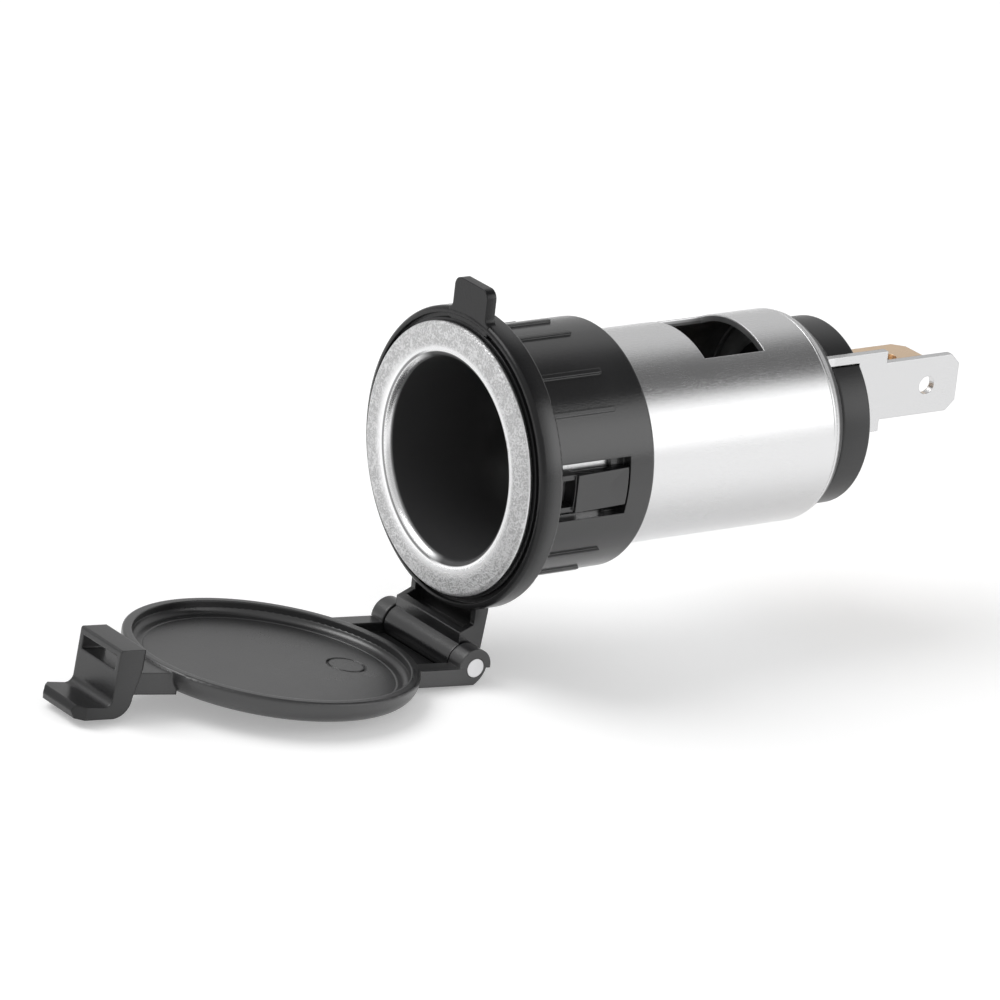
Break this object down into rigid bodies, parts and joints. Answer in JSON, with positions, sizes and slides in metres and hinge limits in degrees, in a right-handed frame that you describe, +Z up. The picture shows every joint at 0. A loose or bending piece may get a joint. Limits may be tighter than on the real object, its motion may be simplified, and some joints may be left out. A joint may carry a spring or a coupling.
{
  "type": "panel power socket",
  "caption": "Round panel-mount 12 V power socket: a metal plug tube in a snap-in plastic collar, with a hinged dust lid and rear tab terminals.",
  "frame": {"origin": "on the plug's axis, in the plane of the flange's back face", "axes": "-Y out of the mouth, +Y towards the terminals, +Z up to the latch ear, the hinge is at -Z, X across"},
  "size_m": [0.0314, 0.1061, 0.041],
  "materials": {
    "plated_steel": "satin bright plating on drawn sheet steel",
    "black_plastic": "satin moulded plastic",
    "pin_steel": "bright cut pin",
    "insulator_plastic": "satin moulded plastic",
    "terminal_brass": "stamped pale brass"
  },
  "bodies": {
    "housing": {"socket_tube": "plated_steel", "collar": "black_plastic", "hinge_pin": "pin_steel", "rear_insulator": "insulator_plastic", "centre_terminal": "terminal_brass", "centre_rivet": "terminal_brass", "inner_washer": "insulator_plastic", "centre_contact": "terminal_brass"},
    "lid": {"lid": "black_plastic"}
  },
  "joints": [
    {"name": "lid_hinge", "type": "hinge", "parent": "housing", "child": "lid", "pos_m": [0, -0.0027, -0.0201], "axis": [-1, 0, 0], "range_deg": [0, 85]}
  ]
}
